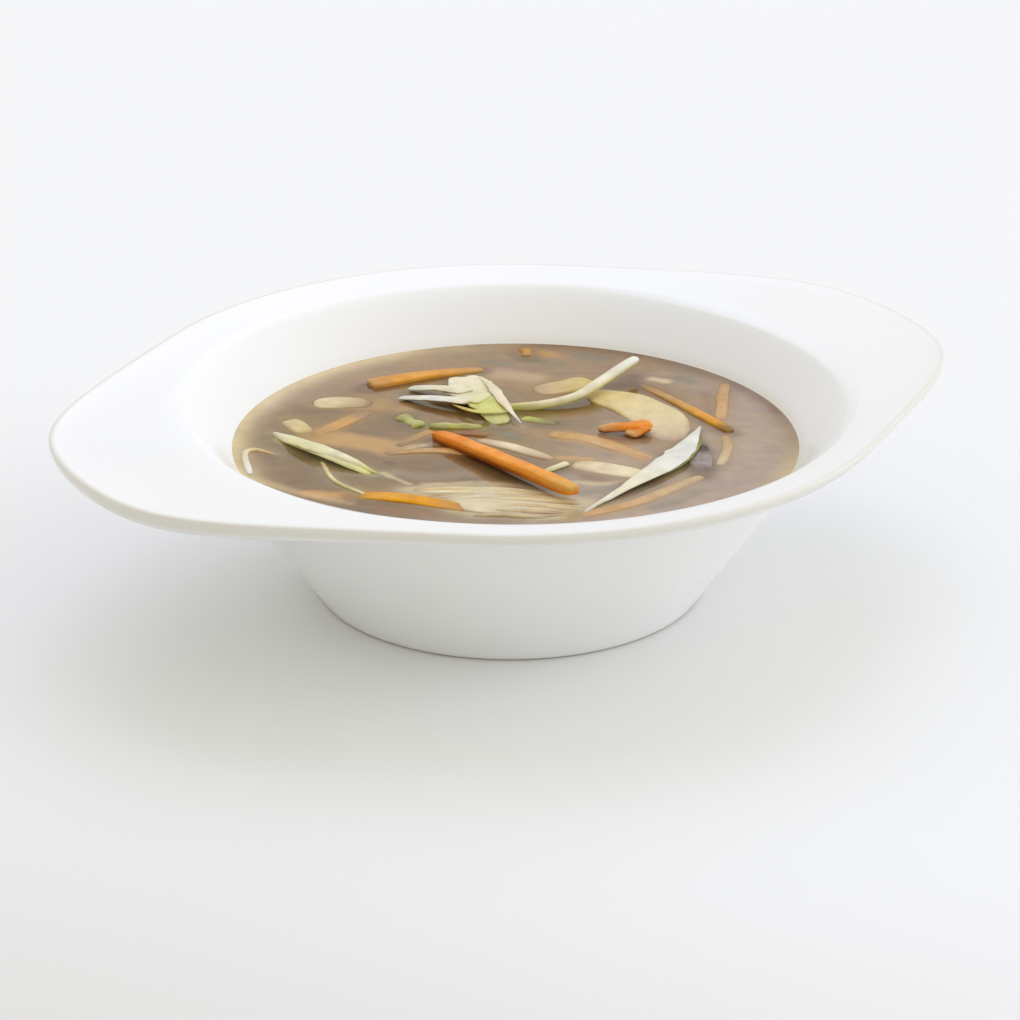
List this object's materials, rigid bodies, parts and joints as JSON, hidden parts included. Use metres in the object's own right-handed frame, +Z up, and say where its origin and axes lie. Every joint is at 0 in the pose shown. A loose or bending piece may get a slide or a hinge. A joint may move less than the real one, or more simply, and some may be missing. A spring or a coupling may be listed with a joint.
{
  "type": "bowl of noodle soup",
  "caption": "Winged white soup bowl filled with brown vegetable soup: carrot sticks, cabbage, leek, pale slices and noodle strands at the surface.",
  "frame": {"origin": "on the table, under the middle of the foot ring", "axes": "+Z up through the middle of the bowl, X along the line through both wings of the rim, Y across it; the picture is taken from in front, a little to the left (-X) of the Y axis on the -Y side"},
  "size_m": [0.2034, 0.165, 0.0459],
  "materials": {
    "porcelain": "white body under a clear glossy glaze",
    "broth": "cloudy brown soup, opaque, with a wet shine",
    "carrot": "cut carrot, moist, orange",
    "stewed_carrot": "sunk carrot stained by the soup, moist, tan",
    "cabbage": "cooked white leaf, moist, with fine veins",
    "cabbage_heart": "cooked yellow-green leaf, moist",
    "leek_green": "cooked green leaf, moist",
    "bamboo": "cooked pale yellow slice with fine fibres, moist",
    "noodle": "boiled noodle, moist, pale yellow",
    "mushroom": "cooked mushroom slice, dark grey-brown, moist"
  },
  "bodies": {
    "root": {"bowl": "porcelain", "soup": "broth", "noodle_bundle": "noodle", "noodle_strip_front": "noodle", "noodle_strip_right": "noodle", "leek_tendril": "noodle", "mushroom_slice": "mushroom", "carrot_stick_main": "carrot", "carrot_chunk": "carrot", "carrot_stick_back": "carrot", "carrot_stick_front": "carrot", "carrot_stick_right": "carrot", "carrot_bit_back": "carrot", "carrot_stick_far": "stewed_carrot", "carrot_strip_middle": "stewed_carrot", "carrot_strip_left": "stewed_carrot", "carrot_strip_low": "stewed_carrot", "carrot_shred": "stewed_carrot", "carrot_stub": "stewed_carrot", "leek_stalk": "cabbage", "cabbage_strip_upper": "cabbage", "cabbage_strip_lower": "cabbage", "leek_blade_left": "cabbage", "cabbage_blade_right": "cabbage", "leek_edge_shred": "cabbage", "leek_bit": "cabbage", "cabbage_heart": "cabbage_heart", "leek_green_chunk": "leek_green", "leek_green_strand": "leek_green", "leek_green_right": "leek_green", "bamboo_slice_big": "bamboo", "bamboo_slice_back": "bamboo", "bamboo_slice_front": "bamboo", "bamboo_slice_left": "bamboo", "bamboo_slice_edge": "bamboo", "bamboo_strip_middle": "bamboo"}
  },
  "joints": []
}
